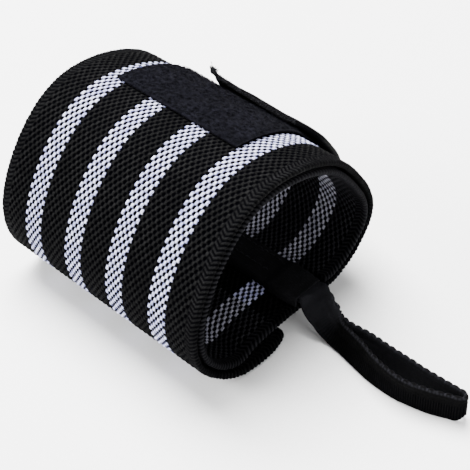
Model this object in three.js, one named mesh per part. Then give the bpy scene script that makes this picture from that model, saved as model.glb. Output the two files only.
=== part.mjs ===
import * as THREE from 'three';

// Wrist wrap: a striped elastic band wound in two turns, lying on its side.
// Millimetres. X runs along the roll towards the thumb loop, +Y to the back, Z up.

// The roll, measured over its outer turn
const ROLL_WIDTH = 78.6;          // front to back
const ROLL_HEIGHT = 59.1;         // floor to top
const ROLL_DRIFT = 4.8;           // how far the winding runs sideways over the band's width
const LAYER_GAP = 0.5;            // air between the two turns
const SEAM_LIFT = 5.2;            // height at which the band crosses over its own outer end

// The cloth
const BAND_WIDTH = 80;
const BAND_THICKNESS = 2.2;
const OUTER_END_Y = -1.4;         // the band's outer end on the floor, from the roll's middle
const INNER_END_Y = 4.6;          // the band's inner end inside, from the roll's middle
const CLEARANCE = 0.3;            // between sewn pieces

const PATCH_WIDTH = 47.5;
const PATCH_THICKNESS = 1.2;
const PATCH_OFF_CENTRE = -1.2;
const PATCH_FRONT_Y = -2.9;       // its straight front edge on top, from the roll's middle
const PATCH_LENGTH = 62;          // from that edge down the back

const TAB_WIDTH = 43;
const TAB_THICKNESS = 1.8;
const TAB_LENGTH = 90;            // from the band's outer end to the free end
const TAB_FLAT_LENGTH = 13;       // the stretch of it that lies on the floor
const TAB_DRIFT = 5.5;              // the free end sits this much nearer the mouth
const TAB_CORNER_RADIUS = 9;

const BINDING_THICKNESS = 0.8;
const BINDING_COVER = 10;         // how far it reaches over the inner end

const LOOP_WIDTH = 10;
const LOOP_THICKNESS = 1.3;
const LOOP_TAIL = 10;             // sewn length inside the mouth
const LOOP_REACH = 57;          // how far it stands out of the mouth
const LOOP_SWAY = 7.2;            // how far it bends to the front on its way
const LOOP_OPENING = 6.2;         // widest gap between its two strands

// Outline of the outer turn from the back of the seam, up the back, over the top and down the
// front to the floor: [share of the width from the middle, share of the height]
const OUTLINE = [
  [0.377, 0.139], [0.451, 0.223], [0.496, 0.322], [0.501, 0.423], [0.471, 0.533], [0.424, 0.629],
  [0.371, 0.721], [0.315, 0.802], [0.246, 0.873], [0.155, 0.934], [0.040, 0.981], [-0.087, 1.000],
  [-0.189, 0.980], [-0.281, 0.919], [-0.359, 0.827], [-0.424, 0.714], [-0.471, 0.592],
  [-0.498, 0.465], [-0.498, 0.338], [-0.468, 0.213], [-0.409, 0.108], [-0.342, 0.037],
  [-0.265, 0.000],
];
// Where the band climbs over its outer end, up to where it meets the outline at the back:
// [share of the width, share of the lift]
const CLIMB = [[-0.163, 0.72], [-0.062, 1], [0.078, 1], [0.193, 1], [0.282, 1]];

// The thumb loop from the mouth to its tip: [share of the reach, share of the sway, share of the
// way down to the floor, turn from lying flat in degrees, share of the opening]
const LOOP_ROUTE = [
  [0.01, 0.00, 0.00, 0, 0.00], [0.03, 0.03, 0.02, 3, 0.00], [0.08, 0.27, 0.26, 38, 0.00], [0.14, 0.43, 0.53, 58, 0.00],
  [0.21, 0.54, 0.80, 70, 0.01], [0.28, 0.65, 1.00, 77, 0.07], [0.40, 0.77, 1.00, 78, 0.45],
  [0.52, 0.92, 1.00, 85, 0.78], [0.69, 1.00, 1.00, 93, 1.00], [0.84, 0.92, 1.00, 93, 0.68],
  [0.93, 0.79, 1.00, 93, 0.36], [0.98, 0.73, 1.00, 93, 0.16],
];
const LOOP_TIP = [1.00, 0.72, 1.00, 93, 0.00];

const BLACK_YARN = 0x1c1c1f;
const BLACK_FLEECE = 0x1d1e26;
const BLACK_HOOKS = 0x121214;
const BLACK_TAPE = 0x1f1f22;

const STEP_MM = 3;                // length of one facet along the cloth
const RIBBON_STEPS = 3;           // facets of the thumb loop between two stations

const innerInset = BAND_THICKNESS + LAYER_GAP;
const tailStart = BAND_WIDTH / 2 - LOOP_TAIL;

// A smooth line through points given as [y, z], as evenly spaced Vector2s
function smoothLine(points, step = STEP_MM) {
  const curve = new THREE.CatmullRomCurve3(points.map(([y, z]) => new THREE.Vector3(y, z, 0)));
  const count = Math.max(2, Math.round(curve.getLength() / step));
  return curve.getSpacedPoints(count).map((p) => new THREE.Vector2(p.x, p.y));
}

// The unit vector to the left of a line at point i, which is inward on the roll
function leftOf(line, i) {
  const before = line[Math.max(i - 1, 0)];
  const after = line[Math.min(i + 1, line.length - 1)];
  const along = after.clone().sub(before).normalize();
  return new THREE.Vector2(-along.y, along.x);
}

// The line moved sideways, to its left where the distance is positive
function moved(line, distance) {
  return line.map((p, i) => p.clone().addScaledVector(leftOf(line, i), distance));
}

function lengthsAlong(line) {
  const lengths = [0];
  for (let i = 1; i < line.length; i += 1) {
    lengths.push(lengths[i - 1] + line[i].distanceTo(line[i - 1]));
  }
  return lengths;
}

const toPairs = (line) => line.map((p) => [p.x, p.y]);

// The outer face of the outer turn from the seam to the floor, as control points
const outline = OUTLINE.map(([y, z]) => new THREE.Vector2(y * ROLL_WIDTH, z * ROLL_HEIGHT));
const floorLeft = outline[outline.length - 1];
const seamBack = new THREE.Vector2(CLIMB[CLIMB.length - 1][0] * ROLL_WIDTH, SEAM_LIFT);
const guide = [seamBack, ...outline];

// Outer faces of the band's stretches, from its inner end to its outer end
function bandRoute() {
  const startHeight = SEAM_LIFT + innerInset;
  const start = [
    [INNER_END_Y, startHeight],
    [(INNER_END_Y + seamBack.x) / 2, startHeight],
  ];
  const inner = toPairs(moved(guide, innerInset));
  const climb = CLIMB.map(([y, lift]) => [
    y * ROLL_WIDTH,
    innerInset + lift * (SEAM_LIFT - innerInset),
  ]);
  const landing = [
    [floorLeft.x + 1, 0],
    [(floorLeft.x + OUTER_END_Y) / 2, 0],
    [OUTER_END_Y, 0],
  ];
  return [...start, ...inner, ...climb, ...toPairs(outline), ...landing];
}

// A closed body through rings of four corners, with flat ends
function ringsGeometry(rings) {
  const index = [];
  for (let r = 0; r < rings.length - 1; r += 1) {
    for (let k = 0; k < 4; k += 1) {
      const a = 4 * r + k;
      const b = 4 * r + ((k + 1) % 4);
      index.push(a, b, b + 4, a, b + 4, a + 4);
    }
  }
  const last = 4 * (rings.length - 1);
  index.push(0, 2, 1, 0, 3, 2);
  index.push(last, last + 1, last + 2, last, last + 2, last + 3);
  const geometry = new THREE.BufferGeometry().setFromPoints(rings.flat());
  geometry.setIndex(index);
  const faceted = geometry.toNonIndexed();
  faceted.computeVertexNormals();
  return faceted;
}

// A closed sheet whose outer face follows a line in the YZ plane, with the cloth to its left.
// edges(i, lengths) gives its two ends along X at point i, and the roll's drift leans it.
function sheetGeometry(line, thickness, edges) {
  const lengths = lengthsAlong(line);
  const place = (p, x) => new THREE.Vector3(x, p.x - (ROLL_DRIFT / BAND_WIDTH) * x, p.y);
  return ringsGeometry(line.map((outer, i) => {
    const inner = outer.clone().addScaledVector(leftOf(line, i), thickness);
    const [from, to] = edges(i, lengths);
    return [place(outer, to), place(outer, from), place(inner, from), place(inner, to)];
  }));
}

// The striped band; its inner end is cut back at the mouth for the thumb loop's tails
function elasticBand() {
  const line = smoothLine(bandRoute());
  line.forEach((p) => { p.y = Math.max(p.y, 0); });
  const half = BAND_WIDTH / 2;
  const tailRoom = LOOP_WIDTH + 3 * CLEARANCE + STEP_MM;
  const edges = (i, lengths) => [-half, lengths[i] < tailRoom ? tailStart - CLEARANCE : half];
  return sheetGeometry(line, BAND_THICKNESS, edges);
}

// The soft patch, sewn on the outer turn from its front edge on top down the back
function loopPatch() {
  const line = smoothLine(toPairs(moved(guide, -CLEARANCE - PATCH_THICKNESS)));
  const lengths = lengthsAlong(line);
  const front = line.findIndex((p) => p.x < PATCH_FRONT_Y && p.y > ROLL_HEIGHT / 2);
  const patch = line.filter((p, i) => i <= front && lengths[i] >= lengths[front] - PATCH_LENGTH);
  const from = PATCH_OFF_CENTRE - PATCH_WIDTH / 2;
  return sheetGeometry(patch, PATCH_THICKNESS, () => [from, from + PATCH_WIDTH]);
}

// The hook tab: flat on the floor behind the band's outer end, then up the back over the patch
function hookTab() {
  const outside = 2 * CLEARANCE + PATCH_THICKNESS + TAB_THICKNESS;
  const start = OUTER_END_Y + CLEARANCE;
  const floor = [0, 0.5, 0.9, 1].map((share) => [start + share * TAB_FLAT_LENGTH, 0]);
  const line = smoothLine([...floor, ...toPairs(moved(guide, -outside))], STEP_MM / 2);
  const lengths = lengthsAlong(line);
  const tab = line.filter((p, i) => lengths[i] <= TAB_LENGTH);
  tab.forEach((p) => { p.y = Math.max(p.y, 0); });
  const end = lengths[tab.length - 1];
  const edges = (i) => {
    const fromEnd = Math.min(end - lengths[i], TAB_CORNER_RADIUS);
    const inset = TAB_CORNER_RADIUS
      - Math.sqrt(TAB_CORNER_RADIUS ** 2 - (TAB_CORNER_RADIUS - fromEnd) ** 2);
    const middle = TAB_DRIFT * (lengths[i] / end);
    return [middle - TAB_WIDTH / 2 + inset, middle + TAB_WIDTH / 2 - inset];
  };
  return sheetGeometry(tab, TAB_THICKNESS, edges);
}

// The tape that covers the inner end: up beside the raw edge, then flat over the cloth
function innerEndBinding() {
  const bottom = SEAM_LIFT + BAND_THICKNESS + CLEARANCE;
  const top = SEAM_LIFT + innerInset + BAND_THICKNESS + CLEARANCE;
  const side = INNER_END_Y - CLEARANCE;
  const radius = CLEARANCE;
  const corner = [30, 60].map((degrees) => {
    const angle = THREE.MathUtils.degToRad(degrees);
    return [side + radius * (1 - Math.cos(angle)), top - radius * (1 - Math.sin(angle))];
  });
  const inside = [[side, bottom], [side, top - radius], ...corner, [side + radius, top],
    [INNER_END_Y + BINDING_COVER, top]];
  const line = inside.map(([y, z]) => new THREE.Vector2(y, z));
  const edges = () => [-BAND_WIDTH / 2, tailStart - CLEARANCE];
  return sheetGeometry(line, BINDING_THICKNESS, edges);
}

// The thumb loop, one ribbon from tail to tail: out on the upper strand, round the tip and back
function thumbLoop() {
  const closed = (LOOP_THICKNESS + CLEARANCE) / 2;
  const wide = (LOOP_THICKNESS + LOOP_OPENING) / 2;
  const mouth = BAND_WIDTH / 2;
  const tailY = INNER_END_Y + 2 * CLEARANCE + LOOP_WIDTH / 2 - ROLL_DRIFT / 2;
  const tailZ = SEAM_LIFT + BAND_THICKNESS + CLEARANCE + LOOP_THICKNESS + CLEARANCE / 2;
  const floorZ = LOOP_WIDTH / 2 + 2 * CLEARANCE;
  const station = ([out, sway, down, turn, open], side) => {
    const angle = THREE.MathUtils.degToRad(turn);
    const apart = side * (closed + open * (wide - closed));
    return {
      centre: new THREE.Vector3(
        mouth + out * LOOP_REACH,
        tailY - sway * LOOP_SWAY - apart * Math.sin(angle),
        tailZ + down * (floorZ - tailZ) + apart * Math.cos(angle),
      ),
      angle,
    };
  };
  const tail = (share) => [-share * (LOOP_TAIL / LOOP_REACH), 0, 0, 0, 0];
  const wayOut = [tail(1), tail(0.5), ...LOOP_ROUTE];
  const stations = [
    ...wayOut.map((row) => station(row, 1)),
    station(LOOP_TIP, 0),
    ...wayOut.map((row) => station(row, -1)).reverse(),
  ];
  return ribbonGeometry(stations, LOOP_WIDTH, LOOP_THICKNESS);
}

// A flat ribbon through stations that hold its centre and how far it is turned on edge
function ribbonGeometry(stations, width, thickness) {
  const centres = new THREE.CatmullRomCurve3(stations.map((s) => s.centre));
  const turns = new THREE.CatmullRomCurve3(stations.map((s) => new THREE.Vector3(s.angle, 0, 0)));
  const steps = RIBBON_STEPS * (stations.length - 1);
  const rings = [];
  for (let i = 0; i <= steps; i += 1) {
    const centre = centres.getPoint(i / steps);
    const along = centres.getTangent(i / steps);
    const turn = turns.getPoint(i / steps).x;
    const across = new THREE.Vector3(0, Math.cos(turn), Math.sin(turn));
    across.addScaledVector(along, -across.dot(along)).setLength(width / 2);
    const out = along.clone().cross(across).setLength(thickness / 2);
    rings.push([
      centre.clone().add(out).add(across),
      centre.clone().add(out).sub(across),
      centre.clone().sub(out).sub(across),
      centre.clone().sub(out).add(across),
    ]);
  }
  return ringsGeometry(rings);
}

// The whole wrap, moved so that the middle of its box stands on the origin
function wristWrap() {
  const group = new THREE.Group();
  const add = (name, geometry, color, roughness) => {
    const material = new THREE.MeshStandardMaterial({ color, roughness, metalness: 0 });
    const mesh = new THREE.Mesh(geometry, material);
    mesh.name = name;
    group.add(mesh);
  };
  add('elastic_band', elasticBand(), BLACK_YARN, 0.85);
  add('loop_patch', loopPatch(), BLACK_FLEECE, 0.95);
  add('hook_tab', hookTab(), BLACK_HOOKS, 0.6);
  add('inner_end_binding', innerEndBinding(), BLACK_TAPE, 0.8);
  add('thumb_loop', thumbLoop(), BLACK_TAPE, 0.75);
  const box = new THREE.Box3().setFromObject(group);
  const middle = box.getCenter(new THREE.Vector3());
  group.position.set(-middle.x, -middle.y, -box.min.z);
  group.updateMatrixWorld(true);
  return group;
}

export default wristWrap();
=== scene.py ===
import math
import bpy
import numpy as np
from mathutils import Matrix


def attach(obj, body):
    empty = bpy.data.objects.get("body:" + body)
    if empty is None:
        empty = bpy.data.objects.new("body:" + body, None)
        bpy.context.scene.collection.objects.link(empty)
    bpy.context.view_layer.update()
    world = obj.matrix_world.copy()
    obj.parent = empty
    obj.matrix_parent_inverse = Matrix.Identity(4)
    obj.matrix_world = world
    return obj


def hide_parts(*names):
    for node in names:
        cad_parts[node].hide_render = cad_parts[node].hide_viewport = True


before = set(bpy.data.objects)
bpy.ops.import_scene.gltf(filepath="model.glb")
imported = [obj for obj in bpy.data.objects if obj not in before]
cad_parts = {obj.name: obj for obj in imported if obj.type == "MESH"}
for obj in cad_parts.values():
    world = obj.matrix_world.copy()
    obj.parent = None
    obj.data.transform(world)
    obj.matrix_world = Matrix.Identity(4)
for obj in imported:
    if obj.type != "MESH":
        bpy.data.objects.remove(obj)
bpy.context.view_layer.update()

# The wrap's own sizes, in millimetres, as its source has them

ROLL_WIDTH = 78.6
ROLL_HEIGHT = 59.1
ROLL_DRIFT = 4.8
LAYER_GAP = 0.5
SEAM_LIFT = 5.2
BAND_WIDTH = 80.0
BAND_THICKNESS = 2.2
OUTER_END_Y = -1.4
INNER_END_Y = 4.6
CLEARANCE = 0.3
PATCH_WIDTH = 47.5
PATCH_THICKNESS = 1.2
PATCH_OFF_CENTRE = -1.2
PATCH_FRONT_Y = -2.9
PATCH_LENGTH = 62.0
TAB_WIDTH = 43.0
TAB_THICKNESS = 1.8
TAB_LENGTH = 90.0
TAB_FLAT_LENGTH = 13.0
TAB_DRIFT = 5.5
TAB_CORNER_RADIUS = 9.0
BINDING_THICKNESS = 0.8
BINDING_COVER = 10.0
LOOP_WIDTH = 10.0
LOOP_THICKNESS = 1.3
LOOP_TAIL = 10.0
LOOP_REACH = 57.0
LOOP_SWAY = 7.2
LOOP_OPENING = 6.2
SEAM_BACK = 0.282

# Where the source moves the whole wrap to stand centred on the origin
SHIFT = np.array([-28.8249, -1.2015, 0.0])

# The band's outer turn, as shares of the roll's width and height, from the back over the top
# to the floor in front
OUTLINE = [
    (0.377, 0.139), (0.451, 0.223), (0.496, 0.322), (0.501, 0.423), (0.471, 0.533),
    (0.424, 0.629), (0.371, 0.721), (0.315, 0.802), (0.246, 0.873), (0.155, 0.934),
    (0.040, 0.981), (-0.087, 1.000), (-0.189, 0.980), (-0.281, 0.919), (-0.359, 0.827),
    (-0.424, 0.714), (-0.471, 0.592), (-0.498, 0.465), (-0.498, 0.338), (-0.468, 0.213),
    (-0.409, 0.108), (-0.342, 0.037), (-0.265, 0.000),
]
# The stretch that climbs over the inner end: share of the width, share of the seam's lift
CLIMB = [(-0.163, 0.72), (-0.062, 1), (0.078, 1), (0.193, 1), (0.282, 1)]
# The loop's middle line: share of its reach, of its sway and of its way down to the floor, the
# ribbon's turn in degrees, and share of its opening
LOOP_ROUTE = [
    (0.01, 0.00, 0.00, 0, 0.00), (0.03, 0.03, 0.02, 3, 0.00), (0.08, 0.27, 0.26, 38, 0.00),
    (0.14, 0.43, 0.53, 58, 0.00), (0.21, 0.54, 0.80, 70, 0.01), (0.28, 0.65, 1.00, 77, 0.07),
    (0.40, 0.77, 1.00, 78, 0.45), (0.52, 0.92, 1.00, 85, 0.78), (0.69, 1.00, 1.00, 93, 1.00),
    (0.84, 0.92, 1.00, 93, 0.68), (0.93, 0.79, 1.00, 93, 0.36), (0.98, 0.73, 1.00, 93, 0.16),
]
LOOP_TIP = (1.00, 0.72, 1.00, 93, 0.00)

# The weave, in millimetres: four stripes on a lattice of slanted yarn bumps
STRIPE_PITCH = 16.93
STRIPE_CENTRE = 14.605 - BAND_WIDTH / 2
BUMPS_PER_PITCH = 9
BUMP_ACROSS = STRIPE_PITCH / BUMPS_PER_PITCH
BUMP_ALONG = 2.8
BUMP_SLANT = math.radians(17)
BUMP_HALF_LENGTH = 1.12
BUMP_HALF_WIDTH = 0.82
BUMP_HEIGHT = 0.6
# The slit at a cell's corner, drawn as painted shade: half its length and width, and the
# shares of it over which its dark fades out
SLIT_HALF_LENGTH = 0.50
SLIT_HALF_WIDTH = 0.36
SLIT_FADE = (0.75, 1.9)
SELVEDGE_WIDTH = 3.6
SELVEDGE_PITCH = BUMP_ALONG / 2
SELVEDGE_HEIGHT = 0.4
# The selvedge's ribs are chevrons, bent at this distance from the edge. From there they shift
# by this share of their pitch for each millimetre
CHEVRON_DEPTH = 1.9
CHEVRON_SLOPE = 0.45
# A stripe is seven half columns of cells wide, and the first stripe starts at this one
STRIPE_HALF_COLUMNS = 7
STRIPE_FIRST_COLUMN = -4
STRIPE_COUNT = 4

# The near edge is pulled out by this much before the outer end, over this length of the band,
# and the pull fades out towards this place across it
OUTER_END_BOW = 2.5
OUTER_END_BOW_LENGTH = 30.0
OUTER_END_BOW_FROM = 12.0

# Where the band's inner turn ends and its outer one starts, below this height
TURN_SPLIT_Y = -0.062 * ROLL_WIDTH
SPLIT_BELOW = 12.0

# The loop's ribs are 0.6 mm apart and drawn a little coarser to show. Its picot edge has
# scallops, with a row of beads inside them
RIB_PITCH = 0.72
SCALLOP_PITCH = 2.4
BEAD_PITCH = 1.0
# How far from the ribbon's middle the line of beads and the furrow under it run
BEAD_LINE = 3.4
FURROW_LINE = 2.2
LOOP_TIP_ROUNDING = 2.6
LOOP_STEP = 0.17

# The tab's seam runs this far inside its edges, and its stitches are this far apart
TAB_SEAM_INSET = 3.0
TAB_STITCH = 2.6
PATCH_SEAM_INSET = 1.3
STITCH = 2.4
# How much of a stitch's pitch its thread covers, and the thread's radius in metres
STITCH_SHARE = 0.72
THREAD_RADIUS = 0.00017

# Pitches of the hook tape's yarns and of the binding tape's ribs and knots
HOOK_TAPE_YARN = 0.55
HEM_RIB_PITCH = 0.9
HEM_KNOT_PITCH = 0.8
# The tape's flat width is this much less than the band's
HEM_MARGIN = 0.4

# The fleece's hills: height, size and seed of the random numbers
NAP_HILLS = ((0.22, 2.1, 3), (0.25, 0.9, 4), (0.15, 0.5, 5))

INNER_INSET = BAND_THICKNESS + LAYER_GAP
TAIL_START = BAND_WIDTH / 2 - LOOP_TAIL


# Lines and sheets

def curve_through(points, shares):
    """Centripetal Catmull-Rom through points: on each stretch the cubic whose end slopes come
    from the neighbours, each weighed by the fourth root of its squared distance. shares are
    places on it from 0 to 1, the same number of stretches apart as the points."""
    points = np.asarray(points, float)
    first = 2 * points[0] - points[1]
    last = 2 * points[-1] - points[-2]
    padded = np.vstack([first, points, last])
    place = np.clip(shares, 0, 1) * (len(points) - 1)
    i = np.minimum(place.astype(int), len(points) - 2)
    t = (place - i)[:, None]
    a, b, c, d = padded[i], padded[i + 1], padded[i + 2], padded[i + 3]
    gap_ab = np.linalg.norm(b - a, axis=1)[:, None] ** 0.5
    gap_bc = np.linalg.norm(c - b, axis=1)[:, None] ** 0.5
    gap_cd = np.linalg.norm(d - c, axis=1)[:, None] ** 0.5
    gap_bc = np.where(gap_bc < 1e-4, 1.0, gap_bc)
    gap_ab = np.where(gap_ab < 1e-4, gap_bc, gap_ab)
    gap_cd = np.where(gap_cd < 1e-4, gap_bc, gap_cd)
    slope_b = ((b - a) / gap_ab - (c - a) / (gap_ab + gap_bc) + (c - b) / gap_bc) * gap_bc
    slope_c = ((c - b) / gap_bc - (d - b) / (gap_bc + gap_cd) + (d - c) / gap_cd) * gap_bc
    square = -3 * b + 3 * c - 2 * slope_b - slope_c
    cube = 2 * b - 2 * c + slope_b + slope_c
    return b + slope_b * t + square * t ** 2 + cube * t ** 3


def cloth_line(points):
    """A smooth line through (y, z) points, never below the floor, as a table: length along
    it, y, z, and the unit vector to its left, which is the way from a sheet's outer face to
    its inner one."""
    shares = np.linspace(0, 1, 60 * (len(points) - 1) + 1)
    dense = curve_through(points, shares)
    steps = np.linalg.norm(np.diff(dense, axis=0), axis=1)
    length = np.concatenate([[0], np.cumsum(steps)])
    even = np.arange(0, length[-1], 0.25)
    y = np.interp(even, length, dense[:, 0])
    z = np.maximum(np.interp(even, length, dense[:, 1]), 0.0)
    slope_y = np.gradient(y, even)
    slope_z = np.gradient(z, even)
    size = np.hypot(slope_y, slope_z)
    return np.array([even, y, z, -slope_z / size, slope_y / size])


def on_cloth(line, s, x, depth):
    """Points in the row frame, in metres: at length s on a line, x along the roll, depth
    millimetres in from the outer face. The winding drifts forwards as x grows."""
    y = np.interp(s, line[0], line[1]) + depth * np.interp(s, line[0], line[3])
    z = np.interp(s, line[0], line[2]) + depth * np.interp(s, line[0], line[4])
    drifted = y - (ROLL_DRIFT / BAND_WIDTH) * x
    return (np.stack([x + 0 * y, drifted, z + 0 * x], axis=-1) + SHIFT) / 1000


def moved(points, distance):
    """The points of a line, each moved to the left of the way from its neighbour before to
    its neighbour after."""
    points = np.asarray(points, float)
    before = np.vstack([points[:1], points[:-1]])
    after = np.vstack([points[1:], points[-1:]])
    along = after - before
    along /= np.linalg.norm(along, axis=1)[:, None]
    return points + distance * np.stack([-along[:, 1], along[:, 0]], axis=1)


def random_hills(u, v, seed):
    """Heights from 0 to 1: random values at whole u and v, eased between them."""
    table = np.random.default_rng(seed).random((64, 64))
    i, j = np.floor(u).astype(int), np.floor(v).astype(int)
    fu, fv = u - i, v - j
    fu, fv = fu * fu * (3 - 2 * fu), fv * fv * (3 - 2 * fv)
    a, b = table[i % 64, j % 64], table[(i + 1) % 64, j % 64]
    c, d = table[i % 64, (j + 1) % 64], table[(i + 1) % 64, (j + 1) % 64]
    return (a * (1 - fu) + b * fu) * (1 - fv) + (c * (1 - fu) + d * fu) * fv


def eased(value, low, high):
    """0 below low, 1 above high, and a smooth step between."""
    t = np.clip((value - low) / (high - low), 0, 1)
    return t * t * (3 - 2 * t)


def section_ring(outer_columns, inner_columns, rounding=5):
    """Once round a sheet's cross-section: the outer face from its far edge to its near one,
    a half circle round the edge, the inner face back, and a half circle again. Columns are
    share across the face, push out of the edge, and side from 1 outside to -1 inside."""
    angles = np.linspace(0, math.pi, rounding + 2)[1:-1]
    outer = np.linspace(0, 1, outer_columns)
    inner = np.linspace(1, 0, inner_columns)
    share = np.concatenate([outer, np.ones(rounding), inner, np.zeros(rounding)])
    push = np.concatenate([0 * outer, np.sin(angles), 0 * inner, -np.sin(angles)])
    side = np.concatenate([0 * outer + 1, np.cos(angles), 0 * inner - 1, -np.cos(angles)])
    return share, push, side


def solid_from_rings(name, points, uv, material):
    """A closed mesh through rings of points, rows by columns by 3, capped flat at both ends.
    It is turned so that its volume comes out positive, which makes the faces look outwards."""
    rows, columns = points.shape[:2]
    index = np.arange(rows * columns).reshape(rows, columns)
    ahead = np.roll(index, -1, axis=1)
    quads = np.stack([index[:-1], ahead[:-1], ahead[1:], index[1:]], axis=-1).reshape(-1, 4)
    flat = points.reshape(-1, 3)
    a, b, c, d = (flat[quads[:, k]] for k in range(4))
    volume = np.einsum("ij,ij->", a, np.cross(b, c) + np.cross(c, d))
    caps = [index[0][::-1], index[-1]]
    if volume < 0:
        quads = quads[:, ::-1]
        caps = [cap[::-1] for cap in caps]
    corners = np.concatenate([quads.ravel(), caps[0], caps[1]])
    cap_starts = [4 * len(quads), 4 * len(quads) + columns]
    starts = np.concatenate([np.arange(len(quads)) * 4, cap_starts])
    mesh = bpy.data.meshes.new(name)
    mesh.vertices.add(len(flat))
    mesh.vertices.foreach_set("co", flat.ravel())
    mesh.loops.add(len(corners))
    mesh.loops.foreach_set("vertex_index", corners.astype(np.int32))
    mesh.polygons.add(len(starts))
    mesh.polygons.foreach_set("loop_start", starts.astype(np.int32))
    smooth = np.ones(len(starts), bool)
    smooth[-2:] = False
    mesh.polygons.foreach_set("use_smooth", smooth)
    layer = mesh.uv_layers.new(name="cloth")
    layer.data.foreach_set("uv", uv.reshape(-1, 2)[corners].ravel())
    return finished(name, mesh, material)


def finished(name, mesh, material):
    """Put the mesh in the scene as a piece with its material."""
    mesh.update(calc_edges=True)
    mesh.validate()
    mesh.materials.append(material)
    piece = bpy.data.objects.new(name, mesh)
    bpy.context.scene.collection.objects.link(piece)
    return piece


def copies_of_prism(name, starts, ends, lifts, radius, material, sides=5, bulge=0.35):
    """Short threads, one for each start and end point: rings of a prism along the way,
    raised by a half sine of the lift, thick in the middle and thin at both ends."""
    rings = 6
    t = np.linspace(0, 1, rings)
    way = starts[:, None] + (ends - starts)[:, None] * t[None, :, None]
    way = way + lifts[:, None] * np.sin(math.pi * t)[None, :, None]
    along = (ends - starts) / np.linalg.norm(ends - starts, axis=1)[:, None]
    up = lifts / np.linalg.norm(lifts, axis=1)[:, None]
    side = np.cross(along, up)
    angles = np.arange(sides) * 2 * math.pi / sides
    thick = radius * (bulge + (1 - bulge) * np.sin(math.pi * (0.12 + 0.76 * t)))
    ring = (side[:, None, None] * np.cos(angles)[None, None, :, None]
            + up[:, None, None] * np.sin(angles)[None, None, :, None])
    points = way[:, :, None] + ring * thick[None, :, None, None]
    count = len(starts)
    index = np.arange(count * rings * sides).reshape(count, rings, sides)
    ahead = np.roll(index, -1, axis=2)
    quads = np.stack([index[:, :-1], ahead[:, :-1], ahead[:, 1:], index[:, 1:]], axis=-1)
    faces = quads.reshape(-1, 4)[:, ::-1].tolist()
    faces += index[:, 0].tolist()
    faces += index[:, -1][:, ::-1].tolist()
    mesh = bpy.data.meshes.new(name)
    mesh.from_pydata(points.reshape(-1, 3).tolist(), [], faces)
    mesh.polygons.foreach_set("use_smooth", np.ones(len(mesh.polygons), bool))
    return finished(name, mesh, material)


# Materials

def linear(colour):
    """An sRGB hex colour as linear red, green, blue and 1."""
    parts = [int(colour[k:k + 2], 16) / 255 for k in (1, 3, 5)]
    return tuple(c / 12.92 if c <= 0.04045 else ((c + 0.055) / 1.055) ** 2.4 for c in parts) + (1,)


def put(tree, kind, inputs=(), output=0, **settings):
    """Add a shader node with its settings, fill or link its inputs, and return one output. The
    inputs are given in order, or by name or number."""
    node = tree.nodes.new("ShaderNode" + kind)
    for key, value in settings.items():
        setattr(node, key, value)
    by_key = inputs if isinstance(inputs, dict) else dict(enumerate(inputs))
    for key, value in by_key.items():
        if isinstance(value, bpy.types.NodeSocket):
            tree.links.new(value, node.inputs[key])
        else:
            node.inputs[key].default_value = value
    return node.outputs[output] if len(node.outputs) else None


def blank(name):
    """A material with an empty node tree."""
    material = bpy.data.materials.new(name)
    material.use_nodes = True
    material.node_tree.nodes.clear()
    return material, material.node_tree


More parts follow.
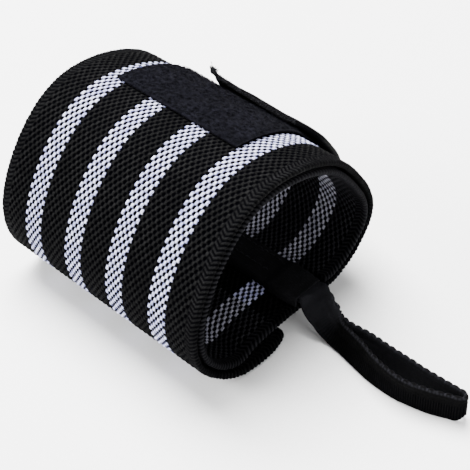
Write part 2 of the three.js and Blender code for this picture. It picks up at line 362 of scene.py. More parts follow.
def woven_elastic(name, white_dark, white_light, black_dark, black_light, rim_light):
    """Polyester and latex webbing in a honeycomb weave: each cell of the lattice is one matt
    bump of yarn, white inside the stripes and black outside. Painted shade darkens a slit at
    each cell's corner, the dips between the bumps and the furrows between the selvedge's ribs.
    Each yarn has a darker and a lighter colour along its filaments, and the selvedges have a
    lighter colour of their own."""
    material, tree = blank(name)
    cell = put(tree, "UVMap", uv_map="cloth")
    whole = put(tree, "VectorMath", (cell,), operation="FLOOR")
    inside = put(tree, "VectorMath", (cell,), operation="FRACTION")
    column = put(tree, "VectorMath", (whole, (1, 1, 0)), "Value", operation="DOT_PRODUCT")
    shifted = put(tree, "Math", (column, -STRIPE_FIRST_COLUMN), operation="ADD")
    turn = put(tree, "Math", (shifted, 2.0 * BUMPS_PER_PITCH), operation="FLOORED_MODULO")
    striped = put(tree, "Math", (turn, STRIPE_HALF_COLUMNS - 0.5), operation="LESS_THAN")
    # Only the four stripes count, from the first one's first column to the last one's last
    half_span = (STRIPE_COUNT - 1) * BUMPS_PER_PITCH + (STRIPE_HALF_COLUMNS - 1) / 2
    middle = STRIPE_FIRST_COLUMN + half_span
    within = put(tree, "Math", (column, middle, half_span + 0.5), operation="COMPARE")
    white = put(tree, "Math", (striped, within), operation="MULTIPLY")
    # The slit at the nearest corner of the cell: a slanted ellipse of painted shade
    shift = put(tree, "VectorMath", (inside, (0.5, 0.5, 0)), operation="SUBTRACT")
    rounded = put(tree, "VectorMath", (inside, (0.5, 0.5, 0)), operation="ADD")
    corner = put(tree, "VectorMath", (rounded,), operation="FLOOR")
    away = put(tree, "VectorMath", (inside, corner), operation="SUBTRACT")
    half_x, half_s = BUMP_ACROSS / 2, BUMP_ALONG / 2
    sine, cosine = math.sin(BUMP_SLANT), math.cos(BUMP_SLANT)
    lengthwise = (half_x * sine + half_s * cosine, half_x * sine - half_s * cosine)
    widthwise = (half_x * cosine - half_s * sine, half_x * cosine + half_s * sine)
    slit_axes = [
        (lengthwise[0] / SLIT_HALF_LENGTH, lengthwise[1] / SLIT_HALF_LENGTH, 0),
        (widthwise[0] / SLIT_HALF_WIDTH, widthwise[1] / SLIT_HALF_WIDTH, 0),
    ]
    slit_x, slit_y = (
        put(tree, "VectorMath", (away, axis), "Value", operation="DOT_PRODUCT")
        for axis in slit_axes)
    slit_pair = put(tree, "CombineXYZ", (slit_x, slit_y))
    slit_distance = put(tree, "VectorMath", (slit_pair,), "Value", operation="LENGTH")
    off_slit = put(tree, "MapRange", (slit_distance, SLIT_FADE[0], SLIT_FADE[1]),
                   interpolation_type="SMOOTHSTEP")
    # Places along and across the bump, in millimetres from its middle
    along_bump, across_bump = (
        put(tree, "VectorMath", (shift, (*axis, 0)), "Value", operation="DOT_PRODUCT")
        for axis in (lengthwise, widthwise))
    # Painted shade: each bump's colour is lightest on its crown and darkened where it dips to its
    # neighbours: a white one keeps 0.16 of its colour there, and a black one, lit to 0.9 on its
    # crown, 0.55
    crown_pair = put(tree, "CombineXYZ", (along_bump, across_bump))
    crown_scaled = put(tree, "VectorMath",
                       (crown_pair, (1 / BUMP_HALF_LENGTH, 1 / BUMP_HALF_WIDTH, 0)),
                       operation="MULTIPLY")
    crown_distance = put(tree, "VectorMath", (crown_scaled,), "Value", operation="LENGTH")
    crown = put(tree, "MapRange", (crown_distance, 1.08, 0.42), interpolation_type="SMOOTHSTEP")
    white_shade = put(tree, "Math", (crown, 0.84, 0.16), operation="MULTIPLY_ADD")
    black_shade = put(tree, "Math", (crown, 0.35, 0.55), operation="MULTIPLY_ADD")
    painted_bump_shade = put(tree, "Mix", {0: white, 2: black_shade, 3: white_shade})
    painted_cell_shade = put(tree, "Math", (off_slit, painted_bump_shade), operation="MULTIPLY")
    # In the selvedges the yarn runs in ribs across the edge instead, with painted shade
    # between them
    row = put(tree, "VectorMath", (cell, (math.pi, -math.pi, 0)), "Value", operation="DOT_PRODUCT")
    place_x = put(tree, "VectorMath", (cell, (BUMP_ACROSS / 2, BUMP_ACROSS / 2, 0)), "Value",
                  operation="DOT_PRODUCT")
    from_middle = put(tree, "Math", (place_x, STRIPE_CENTRE), operation="ADD")
    to_side = put(tree, "Math", (from_middle,), operation="ABSOLUTE")
    to_bend = put(tree, "Math", (to_side, BAND_WIDTH / 2 - CHEVRON_DEPTH), operation="SUBTRACT")
    bend = put(tree, "Math", (to_bend,), operation="ABSOLUTE")
    bent_row = put(tree, "Math", (bend, -math.pi * CHEVRON_SLOPE, row), operation="MULTIPLY_ADD")
    wave = put(tree, "Math", (bent_row,), operation="COSINE")
    rib = put(tree, "Math", (wave,), operation="ABSOLUTE")
    side_start = BAND_WIDTH / 2 - SELVEDGE_WIDTH
    selvedge = put(tree, "MapRange", (to_side, side_start - 0.4, side_start + 0.4))
    flat_shade_and_height = put(tree, "Mix", {0: selvedge, 2: painted_cell_shade, 3: rib})
    yarn = put(tree, "Math", (flat_shade_and_height, 2.0), operation="POWER")
    # Fine filaments along each bump, about 0.12 mm apart and drawn at 0.25 mm to show. Each
    # cell has a number of its own, so that its filaments differ from its neighbours'
    cell_number = put(tree, "VectorMath", (whole, (7.31, 3.17, 0)), "Value",
                      operation="DOT_PRODUCT")
    filament_place = put(tree, "CombineXYZ", (along_bump, across_bump, cell_number))
    stretched = put(tree, "VectorMath", (filament_place, (0.9, 4.0, 1.0)), operation="MULTIPLY")
    filament = put(tree, "TexNoise",
                   {"Vector": stretched, "Scale": 1.0, "Detail": 2.0, "Roughness": 0.6})
    uneven = put(tree, "TexNoise", {"Vector": cell, "Scale": 0.13, "Detail": 3.0})
    streak = put(tree, "MapRange", (filament, 0.36, 0.62))
    # Cells differ a little in how much light they catch
    chance = put(tree, "TexWhiteNoise", {"Vector": whole}, noise_dimensions="3D")
    varied = put(tree, "MapRange", {0: chance, 3: 0.62, 4: 1.0})
    catch = put(tree, "Math", (streak, varied), operation="MULTIPLY")
    white_yarn = put(tree, "MixRGB", (catch, linear(white_dark), linear(white_light)))
    black_lit = put(tree, "MixRGB", (selvedge, linear(black_light), linear(rim_light)))
    black_yarn = put(tree, "MixRGB", (catch, linear(black_dark), black_lit))
    faded = put(tree, "MixRGB", (uneven, black_yarn, linear(black_dark)))
    colour = put(tree, "MixRGB", (white, faded, white_yarn))
    # Painted shade: the colour goes to near black in the slits, where the bumps dip, and between
    # the selvedge's ribs
    painted_shade_colour = put(tree, "MixRGB", (yarn, linear("#000001"), colour))
    height = put(tree, "Math", (yarn, filament), operation="MULTIPLY")
    relief = put(tree, "Bump", {"Strength": 0.5, "Distance": 0.00018, "Height": height})
    shader = put(tree, "BsdfPrincipled", {
        "Base Color": painted_shade_colour, "Roughness": 0.7, "Normal": relief,
        "Specular IOR Level": 0.006})
    put(tree, "OutputMaterial", (shader,))
    return material


def brushed_loop():
    """Nylon loop fleece, brushed: a deep matt nap of curled fibres that takes light unevenly."""
    material, tree = blank("brushed_nylon_loop")
    place = put(tree, "TexCoord", output="Object")
    # In metres, so the curls are about 0.3 mm across, the tufts 1.1 mm and the clumps 10 mm
    curls = put(tree, "TexNoise", {
        "Vector": place, "Scale": 3400.0, "Detail": 4.0, "Roughness": 0.75, "Distortion": 1.2})
    tufts = put(tree, "TexNoise", {"Vector": place, "Scale": 900.0, "Detail": 3.0})
    clumps = put(tree, "TexNoise", {"Vector": place, "Scale": 95.0, "Detail": 2.0})
    shade = put(tree, "Math", (curls, tufts), operation="MULTIPLY")
    tone = put(tree, "MapRange", (shade, 0.17, 0.37))
    nap = put(tree, "MixRGB", (tone, linear("#010102"), linear("#131319")))
    flattened = put(tree, "MapRange", {0: clumps, 1: 0.3, 2: 0.7, 4: 0.5})
    colour = put(tree, "MixRGB", (flattened, nap, linear("#08080b")))
    relief = put(tree, "Bump", {"Strength": 0.9, "Distance": 0.0005, "Height": shade})
    shader = put(tree, "BsdfPrincipled", {
        "Base Color": colour, "Roughness": 0.95, "Normal": relief, "Sheen Weight": 0.008,
        "Sheen Roughness": 0.5, "Specular IOR Level": 0.005})
    put(tree, "OutputMaterial", (shader,))
    return material


def hook_tape():
    """Woven nylon hook tape: a tight plain weave of slightly glossy yarn."""
    material, tree = blank("woven_nylon_hook_tape")
    place = put(tree, "UVMap", uv_map="cloth")
    # The UV map is in millimetres, and here it is counted in yarns
    per_millimetre = 1 / HOOK_TAPE_YARN
    yarns = put(tree, "VectorMath", (place, (per_millimetre, per_millimetre, 0)),
                operation="MULTIPLY")
    whole = put(tree, "VectorMath", (yarns,), operation="FLOOR")
    inside = put(tree, "VectorMath", (yarns,), operation="FRACTION")
    centred = put(tree, "VectorMath", (inside, (0.5, 0.5, 0)), operation="SUBTRACT")
    far = put(tree, "VectorMath", (centred,), "Value", operation="LENGTH")
    bead = put(tree, "MapRange", (far, 0.75, 0.1))
    order = put(tree, "VectorMath", (whole, (1, 1, 0)), "Value", operation="DOT_PRODUCT")
    over = put(tree, "Math", (order, 2.0), operation="FLOORED_MODULO")
    fleck = put(tree, "TexNoise", {"Vector": place, "Scale": 1.3, "Detail": 3.0})
    height = put(tree, "Math", (over, 0.45, bead), operation="MULTIPLY_ADD")
    # Painted shade: the colour follows the weave's height, darker on the yarns that pass under and
    # round each bead's edge, times random flecks
    tone = put(tree, "Math", (height, fleck), operation="MULTIPLY")
    colour = put(tree, "MixRGB", (tone, linear("#020203"), linear("#09090a")))
    relief = put(tree, "Bump", {"Strength": 0.6, "Distance": 0.0002, "Height": height})
    shader = put(tree, "BsdfPrincipled", {
        "Base Color": colour, "Roughness": 0.6, "Normal": relief, "Specular IOR Level": 0.012})
    put(tree, "OutputMaterial", (shader,))
    return material


def knitted_elastic(name, dark, light, picot_highlight_colour):
    """Knitted polyester elastic for the loop and the tape: matt charcoal, with painted shade in
    the furrows between the loop's fine ribs, a painted highlight on the picot edge, and painted
    light that makes the root at the hem and the strands' inner faces paler."""
    material, tree = blank(name)
    place = put(tree, "UVMap", uv_map="cloth")
    # The UV map is in millimetres; the knit's threads are drawn 0.3 mm wide
    stretched = put(tree, "VectorMath", (place, (3.4, 1.2, 0)), operation="MULTIPLY")
    threads = put(tree, "TexNoise",
                  {"Vector": stretched, "Scale": 1.0, "Detail": 3.0, "Roughness": 0.7})
    wear = put(tree, "TexNoise", {"Vector": place, "Scale": 0.22, "Detail": 3.0})
    tone = put(tree, "MapRange", (threads, 0.3, 0.75))
    yarn = put(tree, "MixRGB", (tone, linear(dark), linear(light)))
    worn = put(tree, "MixRGB", (wear, yarn, linear(dark)))
    # The loop's own attribute says where it has ribs, where the picot's painted highlight is, and
    # where painted light makes it paler
    ribs_picot_and_painted_light = put(tree, "Attribute", output="Vector", attribute_name="ribs_picot_and_painted_light")
    ribs, picot, root = (
        put(tree, "VectorMath", (ribs_picot_and_painted_light, axis), "Value", operation="DOT_PRODUCT")
        for axis in ((1, 0, 0), (0, 1, 0), (0, 0, 1)))
    # Painted light: the root by the hem and the strands' inner faces are drawn paler, towards
    # #1e1e21
    with_painted_light = put(tree, "MixRGB", (root, worn, linear("#1e1e21")))
    # Painted highlight along the picot edge, brightest on its beads
    with_picot_highlight = put(tree, "MixRGB", (picot, with_painted_light, linear(picot_highlight_colour)))
    # Painted shade darkens the furrows between the ribs on the outer face, away from the root
    row = put(tree, "VectorMath", (place, (0, math.pi / RIB_PITCH, 0)), "Value",
              operation="DOT_PRODUCT")
    wave = put(tree, "Math", (row,), operation="COSINE")
    ridge = put(tree, "Math", (wave,), operation="ABSOLUTE")
    furrow_mask = put(tree, "MapRange", (ridge, 0.95, 0.4))
    outer = put(tree, "Math", (1.0, root), operation="SUBTRACT")
    ribs_out = put(tree, "Math", (ribs, outer), operation="MULTIPLY")
    painted_furrow_shade = put(tree, "Math", (furrow_mask, ribs_out), operation="MULTIPLY")
    colour = put(tree, "MixRGB", (painted_furrow_shade, with_picot_highlight, linear("#020203")))
    relief = put(tree, "Bump", {"Strength": 0.5, "Distance": 0.0002, "Height": threads})
    shader = put(tree, "BsdfPrincipled", {
        "Base Color": colour, "Roughness": 0.8, "Normal": relief, "Specular IOR Level": 0.006})
    put(tree, "OutputMaterial", (shader,))
    return material


def sewing_thread():
    """Spun polyester sewing thread: dark, slightly glossy, with a fine twist."""
    material, tree = blank("spun_polyester_thread")
    place = put(tree, "TexCoord", output="Object")
    # The twist is about 0.4 mm long
    twist = put(tree, "TexNoise", {"Vector": place, "Scale": 2400.0, "Detail": 2.0})
    colour = put(tree, "MixRGB", (twist, linear("#050506"), linear("#26262a")))
    shader = put(tree, "BsdfPrincipled",
                 {"Base Color": colour, "Roughness": 0.7, "Specular IOR Level": 0.08})
    put(tree, "OutputMaterial", (shader,))
    return material


def studio_paper():
    """Matt white background paper, faintly uneven."""
    material, tree = blank("matt_paper")
    place = put(tree, "TexCoord", output="Object")
    # Its fibres show as spots of about 1.1 mm
    fibre = put(tree, "TexNoise", {"Vector": place, "Scale": 900.0, "Detail": 2.0})
    colour = put(tree, "MixRGB", (fibre, linear("#f1f1f1"), linear("#f7f7f7")))
    shader = put(tree, "BsdfPrincipled",
                 {"Base Color": colour, "Roughness": 0.9, "Specular IOR Level": 0.1})
    put(tree, "OutputMaterial", (shader,))
    return material


elastic = woven_elastic("woven_polyester_elastic", "#696da6", "#eaebff", "#080808", "#222222",
                        "#1e1e1f")
# The inner turn's copy of the webbing carries painted light: its white is greyer, a painted
# shade, and its black paler, a painted light, as the photo shows them
painted_light_inside_elastic = woven_elastic("woven_polyester_elastic_inside_painted_light", "#54545f", "#b2b2c0", "#18181a",
                               "#3c3c3f", "#19191a")
fleece = brushed_loop()
hooks = hook_tape()
ribbed = knitted_elastic("ribbed_polyester_elastic", "#030303", "#101011", "#19191c")
tape = knitted_elastic("polyester_binding_tape", "#0e0e0f", "#222225", "#222225")
thread = sewing_thread()

# The lines that the cloth follows, as in the source

outline = np.array(OUTLINE) * [ROLL_WIDTH, ROLL_HEIGHT]
seam_back = np.array([SEAM_BACK * ROLL_WIDTH, SEAM_LIFT])
guide = np.vstack([seam_back, outline])
start_height = SEAM_LIFT + INNER_INSET
inner_start = [(INNER_END_Y, start_height), ((INNER_END_Y + seam_back[0]) / 2, start_height)]
climb = [(y * ROLL_WIDTH, INNER_INSET + lift * (SEAM_LIFT - INNER_INSET)) for y, lift in CLIMB]
floor_left = outline[-1]
landing = [
    (floor_left[0] + 1, 0),
    ((floor_left[0] + OUTER_END_Y) / 2, 0),
    (OUTER_END_Y, 0),
]
band = cloth_line(np.vstack([inner_start, moved(guide, INNER_INSET), climb, outline, landing]))
patch_line = cloth_line(moved(guide, -CLEARANCE - PATCH_THICKNESS))
tab_outside = 2 * CLEARANCE + PATCH_THICKNESS + TAB_THICKNESS
tab_start = OUTER_END_Y + CLEARANCE
tab_floor = [(tab_start + share * TAB_FLAT_LENGTH, 0) for share in (0, 0.5, 0.9, 1)]
tab_line = cloth_line(np.vstack([tab_floor, moved(guide, -tab_outside)]))


# The striped band

def lattice(x, s):
    """The weave's own coordinates: whole numbers of both are the corners of a cell. Cells are
    rhombs, BUMP_ACROSS wide and BUMP_ALONG long, in rows set off by half a cell."""
    u = (x - STRIPE_CENTRE) / BUMP_ACROSS
    v = -s / BUMP_ALONG
    return u + v, u - v


def weave_depth(x, s):
    """How far the cloth's face lies below its highest points: the cells' bumps are slanted
    half ellipsoids, of which the highest counts, and the selvedges are ribs across the edge."""
    p, q = lattice(x, s)
    height = np.zeros(np.broadcast(x, s).shape)
    sine, cosine = math.sin(BUMP_SLANT), math.cos(BUMP_SLANT)
    for i in (-1, 0, 1):
        for j in (-1, 0, 1):
            dp = p - (np.floor(p) + i + 0.5)
            dq = q - (np.floor(q) + j + 0.5)
            dx = (dp + dq) / 2 * BUMP_ACROSS
            dv = (dp - dq) / 2 * BUMP_ALONG
            along = (dx * sine + dv * cosine) / BUMP_HALF_LENGTH
            across = (dx * cosine - dv * sine) / BUMP_HALF_WIDTH
            height = np.maximum(height, 1 - along ** 2 - across ** 2)
    bumps = BUMP_HEIGHT * (1 - np.sqrt(np.clip(height, 0, 1)))
    from_edge = BAND_WIDTH / 2 - np.abs(x)
    uneven = 0.45 * random_hills(s / 1.1, x / 1.3, 41)
    bend = CHEVRON_SLOPE * np.abs(from_edge - CHEVRON_DEPTH)
    rib = np.abs(np.cos(math.pi * (s / SELVEDGE_PITCH + bend))) * (1 - uneven)
    ribs = SELVEDGE_HEIGHT * (1 - rib)
    share = eased(from_edge, SELVEDGE_WIDTH - 0.6, SELVEDGE_WIDTH + 0.6)
    return ribs * (1 - share) + bumps * share


def band_stretch(name, start, end, outer_columns, inner_columns, row_step, material):
    """A stretch of the band between two lengths: the cross-section's ring carried along the
    line, with each face pressed in by the weave."""
    rows = max(2, int(round((end - start) / row_step)) + 1)
    s = np.linspace(start, end, rows)[:, None]
    share, push, side = (a[None, :] for a in section_ring(outer_columns, inner_columns))
    # At its inner end the band is narrower, to make room for the loop's tails
    room = LOOP_WIDTH + 3 * CLEARANCE
    low = -BAND_WIDTH / 2
    high = TAIL_START - CLEARANCE + (BAND_WIDTH / 2 - TAIL_START + CLEARANCE) * eased(
        s, room + 1.0, room + 2.2)
    radius = BAND_THICKNESS / 2
    x = low + radius + share * (high - low - 2 * radius) + push * radius
    depth = weave_depth(x, s + 0 * x)
    # The weave notches the edges too
    serration = np.abs(push) * 1.1 * depth
    x = x - np.sign(push) * serration
    level = radius * (1 - side) + side * depth
    uv = np.stack(lattice(x, s + 0 * x), axis=-1)
    # The near edge is bowed before the outer end
    before_end = np.clip((band_end - s) / OUTER_END_BOW_LENGTH, 0, 1)
    x = x + OUTER_END_BOW * np.sin(math.pi * before_end ** 0.7) * eased(
        x, OUTER_END_BOW_FROM, BAND_WIDTH / 2)
    points = on_cloth(band, s + 0 * x, x, level)
    piece = solid_from_rings(name, points, uv, material)
    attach(piece, "root")
    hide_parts("elastic_band")


def band_length_at(y, part):
    """The length at which the band's line crosses y near the top, on its inner or outer turn."""
    high = band[2] > ROLL_HEIGHT * 0.8
    lengths = band[0][high & (np.abs(band[1] - y) < 0.3)]
    return lengths[0] if part == "inner" else lengths[-1]


band_end = band[0][-1]
inner_top = band_length_at(0.0, "inner")
outer_top = band_length_at(-4.0, "outer")
turn_low = (band[0] > inner_top) & (band[0] < outer_top) & (band[2] < SPLIT_BELOW)
seam = np.interp(TURN_SPLIT_Y, band[1][turn_low], band[0][turn_low])

# Each stretch is fine on the side that shows and coarse on the hidden one
hidden = 16
# The inner turn takes the copy with painted shade on its white and painted light on its black
band_stretch("band_inner_back", 0.0, inner_top, hidden, 200, 0.40, painted_light_inside_elastic)
band_stretch("band_inner_front", inner_top, seam, hidden, 200, 0.42, painted_light_inside_elastic)
band_stretch("band_outer_back", seam, outer_top, 190, hidden, 0.46, elastic)
band_stretch("band_outer_front", outer_top, band_end, 225, hidden, 0.34, elastic)


# The loop patch

patch_upper = patch_line[2] > ROLL_HEIGHT / 2
patch_front = patch_line[0][patch_upper & (patch_line[1] < PATCH_FRONT_Y)][0]
patch_back = patch_front - PATCH_LENGTH
patch_low = PATCH_OFF_CENTRE - PATCH_WIDTH / 2
patch_high_edge = PATCH_OFF_CENTRE + PATCH_WIDTH / 2


def plain_sheet(name, line, start, end, edges, thickness, columns, step, relief, material):
    """A closed sheet between two lengths of a line. edges(s) gives its two sides along the
    roll, and relief(x, s, side) how far a point is pressed in; side is 1 outside, -1 inside."""
    rows = max(2, int(round((end - start) / step)) + 1)
    s = np.linspace(start, end, rows)[:, None]
    share, push, side = (a[None, :] for a in section_ring(*columns))
    low, high = edges(s)
    radius = thickness / 2
    x = low + radius + share * (high - low - 2 * radius) + push * radius + 0 * s
    level = radius * (1 - side) + relief(x, s + 0 * x, side)
    points = on_cloth(line, s + 0 * x, x, level)
    uv = np.stack([x, s + 0 * x], axis=-1)
    return solid_from_rings(name, points, uv, material)


def nap_relief(x, s, side):
    """The fleece's surface: three sizes of random hills, thinner along its edges."""
    hills = sum(height * random_hills(x / size, s / size, seed)
                for height, size, seed in NAP_HILLS)
    from_edge = np.minimum(
        np.minimum(x - patch_low, patch_high_edge - x),
        np.minimum(s - patch_back, patch_front - s),
    )
    return np.maximum(side, 0) * (hills + 0.45 * (1 - eased(from_edge, 0.0, 1.6)))


patch = plain_sheet(
    "loop_patch_fleece", patch_line, patch_back, patch_front,
    lambda s: (patch_low, patch_high_edge), PATCH_THICKNESS, (116, 12), 0.42, nap_relief, fleece)
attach(patch, "root")
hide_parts("loop_patch")

# Loose fibres of the fleece: short arched threads that start and end in the nap
draws = np.random.default_rng(11)
fibre_count = 2600
fibre_x = draws.uniform(patch_low + 0.5, patch_high_edge - 0.5, fibre_count)
fibre_s = draws.uniform(patch_back + 0.5, patch_front - 0.3, fibre_count)
fibre_turn = draws.uniform(0, 2 * math.pi, fibre_count)
fibre_length = draws.uniform(0.7, 1.6, fibre_count)
fibre_root_depth = 0.35
fibre_start = on_cloth(patch_line, fibre_s, fibre_x, fibre_root_depth)
fibre_end = on_cloth(
    patch_line,
    np.clip(fibre_s + fibre_length * np.sin(fibre_turn), patch_back, patch_front),
    np.clip(fibre_x + fibre_length * np.cos(fibre_turn), patch_low, patch_high_edge),
    fibre_root_depth)
fibre_lift = on_cloth(patch_line, fibre_s, fibre_x, -draws.uniform(0.2, 0.55, fibre_count))
fibre_lift = fibre_lift - on_cloth(patch_line, fibre_s, fibre_x, 0.0)
fibres = copies_of_prism("loop_patch_fibres", fibre_start, fibre_end, fibre_lift, 0.00007,
                         fleece, sides=3, bulge=0.6)
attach(fibres, "root")


# The hook tab

def tab_edges(s):
    """Both sides of the tab: its middle drifts towards the mouth, a quarter circle rounds
    the free end's near corner, and the far side is a little ragged near the end."""
    from_end = np.clip(TAB_LENGTH - s, 0, TAB_CORNER_RADIUS)
    inset = TAB_CORNER_RADIUS - np.sqrt(
        np.maximum(TAB_CORNER_RADIUS ** 2 - (TAB_CORNER_RADIUS - from_end) ** 2, 0))
    middle = TAB_DRIFT * s / TAB_LENGTH
    frayed = 0.7 * random_hills(s / 0.9, 0 * s, 21) * eased(s, TAB_LENGTH - 14, TAB_LENGTH - 3)
    far_inset = 0.06 * inset + frayed
    return middle - TAB_WIDTH / 2 + far_inset, middle + TAB_WIDTH / 2 - inset


def tab_relief(x, s, side):
    """The tape's faint unevenness, the furrow of the seam that runs inside its edges, and
    the free end, which is wavy and whose far corner curls up off the patch."""
    low, high = tab_edges(s)
    from_edge = np.minimum(np.minimum(x - low, high - x), TAB_LENGTH - s)
    furrow = 0.22 * np.exp(-((from_edge - TAB_SEAM_INSET) / 0.6) ** 2)
    near_end = eased(s, TAB_LENGTH - 10, TAB_LENGTH)
    corner = near_end * eased(low + 5 - x, 0, 5)
    lift = near_end * eased(low + 20 - x, 0, 20)
    waves = 0.55 * near_end * random_hills((x + BAND_WIDTH / 2) / 6, 0 * (x + s), 23)
    return (np.maximum(side, 0) * (furrow + 0.12 * random_hills(x / 1.7, s / 1.7, 8))
            + 0.45 * side * lift - 0.2 * corner - 0.85 * lift - waves)


tab = plain_sheet(
    "hook_tab_tape", tab_line, 0.0, TAB_LENGTH, tab_edges, TAB_THICKNESS, (96, 12), 0.5,
    tab_relief, hooks)
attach(tab, "root")
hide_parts("hook_tab")


# The binding at the inner end

bottom = SEAM_LIFT + BAND_THICKNESS + CLEARANCE
top = SEAM_LIFT + INNER_INSET + BAND_THICKNESS + CLEARANCE
binding_side = INNER_END_Y - CLEARANCE
binding_points = [(binding_side, bottom), (binding_side, (bottom + top) / 2)]
for degrees in (0, 30, 60, 90):
    angle = math.radians(degrees)
    binding_points.append((binding_side + CLEARANCE * (1 - math.cos(angle)),
                           top - CLEARANCE * (1 - math.sin(angle))))
binding_points += [(INNER_END_Y + BINDING_COVER / 2, top), (INNER_END_Y + BINDING_COVER, top)]
binding_line = cloth_line(binding_points)
binding_length = binding_line[0][-1]


def hem_relief(x, s, side):
    """The tape rises over the loop's tails; on its upper face it has ribs along the roll
    with small knots, and faint hills."""
    rise = 0.45 * eased(x, TAIL_START - 3, TAIL_START)
    rise = rise - 0.5 * eased(x, BAND_WIDTH / 2 - 5, BAND_WIDTH / 2 - 1)
    rib = 0.10 * (1 - np.abs(np.cos(math.pi * s / HEM_RIB_PITCH)))
    knots = 0.05 * (1 - np.cos(2 * math.pi * x / HEM_KNOT_PITCH)) / 2
    hills = 0.25 * random_hills(x / 6, s / 3, 31)
    return rise - np.maximum(-side, 0) * (rib + knots + hills)


binding = plain_sheet(
    "inner_end_tape", binding_line, 0.0, binding_length,
    lambda s: (-BAND_WIDTH / 2, BAND_WIDTH / 2 - HEM_MARGIN), BINDING_THICKNESS, (12, 170), 0.2,
    hem_relief, tape)
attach(binding, "root")
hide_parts("inner_end_binding")


# The thumb loop

def loop_stations():
    """Centre and turn of the ribbon at each station, out on one strand, round the tip, back
    on the other. The strands part along the ribbon's own normal."""
    # Half the distance between the strands' middles, where they touch and where they part most
    closed = (LOOP_THICKNESS + CLEARANCE) / 2
    wide = (LOOP_THICKNESS + LOOP_OPENING) / 2
    tail_y = INNER_END_Y + 2 * CLEARANCE + LOOP_WIDTH / 2 - ROLL_DRIFT / 2
    tail_z = SEAM_LIFT + BAND_THICKNESS + CLEARANCE + LOOP_THICKNESS + CLEARANCE / 2
    floor_z = LOOP_WIDTH / 2 + 2 * CLEARANCE
    tail = [(-share * LOOP_TAIL / LOOP_REACH, 0, 0, 0, 0) for share in (1, 0.5)]
    way = np.array(tail + LOOP_ROUTE)
    rows = np.vstack([way, [LOOP_TIP], way[::-1]])
    sides = np.concatenate([np.ones(len(way)), [0], -np.ones(len(way))])
    out, sway, down, degrees, opened = rows.T
    angle = np.radians(degrees)
    apart = sides * (closed + opened * (wide - closed))
    centres = np.stack([
        BAND_WIDTH / 2 + out * LOOP_REACH,
        tail_y - sway * LOOP_SWAY - apart * np.sin(angle),
        tail_z + down * (floor_z - tail_z) + apart * np.cos(angle),
    ], axis=1)
    return centres, angle


def loop_ribbon():
    """A rounded flat section carried along the stations' curve. Ribs cross the lower part of
    its outer face, a beaded line runs above them, and the upper edge swells in scallops. Its
    attribute tells the material where the ribs are, where the picot's painted highlight goes,
    and where painted light makes it paler."""
    centres, angles = loop_stations()
    shares = np.linspace(0, 1, 4000)
    dense = curve_through(centres, shares)
    turns = curve_through(angles[:, None], shares)[:, 0]
    length = np.concatenate([[0], np.cumsum(np.linalg.norm(np.diff(dense, axis=0), axis=1))])
    s = np.linspace(0, length[-1], int(length[-1] / LOOP_STEP))
    centre = np.stack([np.interp(s, length, dense[:, k]) for k in range(3)], axis=1)
    turn = np.interp(s, length, turns)
    # Near the floor the strands are let down until their lower edge touches it
    edge_height = (centre[:, 2] - LOOP_WIDTH / 2 * np.sin(turn)
                   - LOOP_THICKNESS / 2 * np.abs(np.cos(turn)))
    settled = 1 - eased(edge_height, 0.7, 3.0)
    centre[:, 2] -= np.maximum(edge_height - 0.08, 0) * settled
    along = np.gradient(centre, axis=0)
    along /= np.linalg.norm(along, axis=1)[:, None]
    across = np.stack([0 * turn, np.cos(turn), np.sin(turn)], axis=1)
    across -= along * np.sum(across * along, axis=1)[:, None]
    across /= np.linalg.norm(across, axis=1)[:, None]
    normal = np.cross(along, across)
    share, push, side = (a[None, :] for a in section_ring(26, 26))
    radius = LOOP_THICKNESS / 2
    v = -LOOP_WIDTH / 2 + radius + share * (LOOP_WIDTH - 2 * radius) + push * radius
    rib = np.abs(np.cos(math.pi * s / RIB_PITCH))[:, None]
    outward = np.maximum(side, 0)
    # Near the mouth the knit is stretched smooth by the seam, and painted light makes it paler
    root = 1 - eased(centre[:, 0], BAND_WIDTH / 2 + 4, BAND_WIDTH / 2 + 16)[:, None]
    ribbed_share = (1 - eased(v, 0.7, 1.7)) * outward * (1 - root)
    press = 0.26 * (1 - rib) * ribbed_share
    bead = np.abs(np.cos(math.pi * s / BEAD_PITCH))[:, None]
    line = np.exp(-((v - BEAD_LINE) / 0.4) ** 2)
    furrow = 0.12 * np.exp(-((v - FURROW_LINE) / 0.5) ** 2)
    hills = random_hills(s[:, None] / 0.5, v / 0.5, 51)
    press = press + furrow - 0.10 * bead * line + 0.06 + 0.10 * hills
    scallop = np.abs(np.sin(math.pi * s / SCALLOP_PITCH))[:, None] ** 0.7
    upper = eased(v, 3.0, 4.6)
    v = v - 0.6 * (1 - scallop) * upper
    # The lower corner of the tip is rounded
    from_tip = np.abs(centre[:, 0] - centre[:, 0].max())[:, None]
    reach = np.clip(LOOP_TIP_ROUNDING - from_tip, 0, LOOP_TIP_ROUNDING)
    rounding = LOOP_TIP_ROUNDING - np.sqrt(LOOP_TIP_ROUNDING ** 2 - reach ** 2)
    v = v + rounding * (0.5 - v / LOOP_WIDTH)
    half = radius * side - np.sign(side) * press * np.abs(side)
    points = (centre[:, None] + across[:, None] * v[..., None]
              + normal[:, None] * half[..., None])
    points = (points + SHIFT) / 1000
    uv = np.stack([v, s[:, None] + 0 * v], axis=-1)
    piece = solid_from_rings("thumb_loop_elastic", points, uv, ribbed)
    # The picot's painted highlight, strongest on its beads
    picot = eased(v, 3.9, 4.3) * (1 - eased(v, 4.6, 4.9)) * (0.15 + 0.85 * bead)
    # Painted light makes the root paler, and the strands' inner faces a little
    painted_light_share = np.maximum(0.8 * root, 0.4 * np.maximum(-side, 0))
    ribs_picot_and_painted_light = np.stack([ribbed_share + 0 * v, picot, painted_light_share + 0 * v], axis=-1)
    layer = piece.data.attributes.new("ribs_picot_and_painted_light", "FLOAT_VECTOR", "POINT")
    layer.data.foreach_set("vector", ribs_picot_and_painted_light.ravel())
    return piece, length[-1]


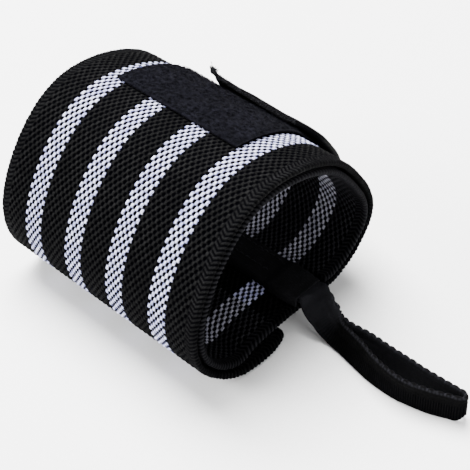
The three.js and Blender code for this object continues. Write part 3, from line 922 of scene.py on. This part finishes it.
loop, loop_length = loop_ribbon()
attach(loop, "root")
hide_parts("thumb_loop")


# The seams

def seam_stitches(name, line, s, x, depth, lift, material=thread):
    """A row of stitches through points on a line: each thread runs from a point towards the
    next, over most of the way, and arches by the lift."""
    points = on_cloth(line, s, x, depth)
    starts = points[:-1]
    ends = starts + STITCH_SHARE * (points[1:] - starts)
    lifts = (on_cloth(line, s, x, depth - lift) - points)[:-1]
    piece = copies_of_prism(name, starts, ends, lifts, THREAD_RADIUS, material)
    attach(piece, "root")


def edge_threads(name, count, seed, farthest, size, up_share, radius):
    """Short threads that stand out of the tab's cut end: each starts within the given distance
    of the far corner and points out, up or down, in a fan. size and up_share are the ranges of
    their lengths and of how steeply they rise."""
    draws = np.random.default_rng(seed)
    share = draws.random(count)
    margin = 0.3
    low, high = tab_edges(np.array(TAB_LENGTH - margin))
    x = low + margin + share * np.minimum(farthest, high - low - 2 * margin)
    s = TAB_LENGTH - 0.1 - margin * draws.random(count)
    length = draws.uniform(*size, count)
    sideways = draws.uniform(-0.7, 0.7, count)
    outwards = draws.uniform(0.2, 0.9, count)
    upwards = draws.uniform(*up_share, count)
    depth = draws.uniform(margin, TAB_THICKNESS - margin, count)
    depth = depth + tab_relief(x, s, 0 * s)
    starts = on_cloth(tab_line, s, x, depth)
    ends = on_cloth(tab_line, s, x + length * sideways, depth - length * upwards)
    back = on_cloth(tab_line, s - 1.0, x, depth) - starts
    ends = ends - back * (length * outwards)[:, None]
    lifts = (starts - on_cloth(tab_line, s, x, depth + 1.0)) * 0.25 * length[:, None]
    piece = copies_of_prism(name, starts, ends, lifts, radius, thread, sides=4, bulge=0.5)
    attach(piece, "root")


edge_threads("tab_frayed_corner", count=70, seed=17, farthest=2.6, size=(0.9, 2.0),
             up_share=(0.3, 1.1), radius=0.00013)
edge_threads("tab_edge_fibres", count=600, seed=19, farthest=60.0, size=(0.3, 0.7),
             up_share=(-0.8, 0.8), radius=0.0001)

tab_side = np.arange(2.0, TAB_LENGTH - TAB_CORNER_RADIUS, TAB_STITCH)
tab_low, tab_high = tab_edges(tab_side)
for name, x in (("near", tab_high - TAB_SEAM_INSET), ("far", tab_low + TAB_SEAM_INSET)):
    seam_stitches(f"tab_seam_{name}", tab_line, tab_side, x, depth=0.42, lift=0.22)
end_x = np.arange(-12.0, 24.0, TAB_STITCH)
seam_stitches("tab_seam_end", tab_line, 0 * end_x + TAB_LENGTH - TAB_SEAM_INSET, end_x,
              depth=0.32, lift=0.1)

front_x = np.arange(patch_low + 1.2, patch_high_edge - 1.0, STITCH)
side_s = np.arange(patch_back + 1.2, patch_front - PATCH_SEAM_INSET, STITCH)
patch_seams = (
    ("front", 0 * front_x + patch_front - PATCH_SEAM_INSET, front_x),
    ("near", side_s, 0 * side_s + patch_high_edge - PATCH_SEAM_INSET),
    ("far", side_s, 0 * side_s + patch_low + PATCH_SEAM_INSET),
)
for name, s, x in patch_seams:
    seam_stitches(f"patch_seam_{name}", patch_line, s, x, depth=0.45, lift=0.12,
                  material=fleece)

hem_x = np.arange(-BAND_WIDTH / 2 + 1.5, TAIL_START - 1.5, STITCH)
hem_seams = (1.8 + 0.28 * binding_length, binding_length - 1.6)
for number, s in enumerate(hem_seams, start=1):
    seam_stitches(f"hem_seam_{number}", binding_line, 0 * hem_x + s, hem_x,
                  depth=BINDING_THICKNESS - 0.1, lift=-0.25)


# Floor, light and camera

def set_up(name, data, place, right, up, back):
    """Put a lamp or a camera in the scene at a place, turned to its own three axes."""
    thing = bpy.data.objects.new(name, data)
    thing.location = place
    thing.rotation_mode = "QUATERNION"
    turn = Matrix(np.stack([right, up, back], axis=1).tolist())
    thing.rotation_quaternion = turn.to_quaternion()
    bpy.context.scene.collection.objects.link(thing)
    return thing


def area_light(name, place, aim, size, power):
    """A square soft box at a place, turned to its aim."""
    light = bpy.data.lights.new(name, "AREA")
    light.shape = "SQUARE"
    light.size = size
    light.energy = power
    away = np.array(place, float) - np.array(aim, float)
    away /= np.linalg.norm(away)
    sideways = np.cross([0, 0, 1], away)
    sideways /= np.linalg.norm(sideways)
    set_up(name, light, place, sideways, np.cross(away, sideways), away)


def studio_floor():
    """A plain sheet of paper under the wrap, flat: a grid of corners at one height."""
    half_size, below, corners = 1.5, 0.00002, 9
    side = np.linspace(-half_size, half_size, corners)
    x, y = np.meshgrid(side, side, indexing="ij")
    points = np.stack([x, y, 0 * x - below], axis=-1).reshape(-1, 3)
    index = np.arange(corners ** 2).reshape(corners, corners)
    quads = np.stack([index[:-1, :-1], index[1:, :-1], index[1:, 1:], index[:-1, 1:]], axis=-1)
    mesh = bpy.data.meshes.new("studio_floor")
    mesh.from_pydata(points.tolist(), [], quads.reshape(-1, 4).tolist())
    floor = finished("studio_floor", mesh, studio_paper())


studio_floor()
area_light("key_light", (-0.40, 0.15, 1.00), (0, 0, 0.02), size=0.8, power=82.0)
area_light("front_light", (-0.70, -0.80, 0.60), (0, 0, 0.02), size=0.6, power=25.0)
area_light("mouth_light", (0.85, -0.05, 0.30), (0.01, 0, 0.02), size=0.5, power=7.0)

world = bpy.data.worlds.new("soft_room")
bpy.context.scene.world = world
world.use_nodes = True
background = world.node_tree.nodes["Background"].inputs
background["Color"].default_value = linear("#ffffff")
background["Strength"].default_value = 0.4

camera_data = bpy.data.cameras.new("photo_camera")
camera_data.sensor_width = 36.0
camera_data.lens = 111.387
camera_data.clip_start = 0.01
camera_data.clip_end = 20.0
# The camera's place and axes, matched to the photo
camera_place = (0.196340, -0.240226, 0.291830)
right = np.array([0.75544, 0.65522, 0.0])
forward = np.array([-0.49975, 0.57619, -0.64673])
bpy.context.scene.camera = set_up("photo_camera", camera_data, camera_place, right,
                                  np.cross(right, forward), -forward)
